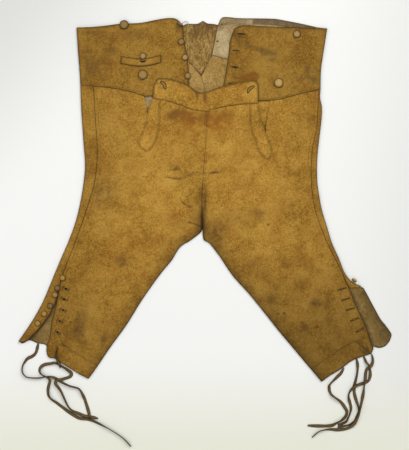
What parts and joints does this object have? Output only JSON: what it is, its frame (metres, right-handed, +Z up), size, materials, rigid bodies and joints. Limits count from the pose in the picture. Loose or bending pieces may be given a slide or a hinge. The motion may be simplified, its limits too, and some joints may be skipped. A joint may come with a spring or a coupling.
{
  "type": "knee breeches",
  "caption": "Buff leather knee breeches with a small fall, laid flat and unbuttoned, with laced knees.",
  "frame": {"origin": "on the surface the garment lies on, below the middle of its outline without the laces", "axes": "+X to the viewer's right, +Y towards the waist, +Z up out of the front"},
  "size_m": [0.7829, 0.9023, 0.0178],
  "materials": {
    "leather": "matt nap",
    "inner_leather": "matt nap",
    "gusset_leather": "matt nap",
    "button_leather": "worn satin",
    "thong_leather": "worn satin"
  },
  "bodies": {
    "root": {"front_leg_left": "leather", "front_leg_right": "leather", "back_leg_left": "leather", "back_leg_right": "leather", "front_waistband_left": "leather", "front_waistband_right": "leather", "back_waistband_left": "inner_leather", "back_waistband_right": "inner_leather", "back_gusset": "gusset_leather", "bearer_left": "inner_leather", "bearer_right": "leather", "fall_band": "leather", "fall_placket_left": "leather", "fall_placket_right": "leather", "fob_welt": "leather", "brace_button_left": "button_leather", "brace_button_right": "button_leather", "fall_button_left": "button_leather", "fall_button_right": "button_leather", "fob_button": "button_leather", "front_button_1": "button_leather", "front_button_2": "button_leather", "front_button_3": "button_leather", "front_button_4": "button_leather", "knee_button_left_1": "button_leather", "knee_button_left_2": "button_leather", "knee_button_left_3": "button_leather", "knee_button_left_4": "button_leather", "knee_button_left_5": "button_leather", "knee_button_left_6": "button_leather", "knee_button_right": "button_leather", "lace_left_back": "thong_leather", "lace_left_tied": "thong_leather", "lace_left_stub": "thong_leather", "lace_right_inner": "thong_leather", "lace_right_second": "thong_leather", "lace_right_third": "thong_leather", "lace_right_outer": "thong_leather"}
  },
  "joints": []
}
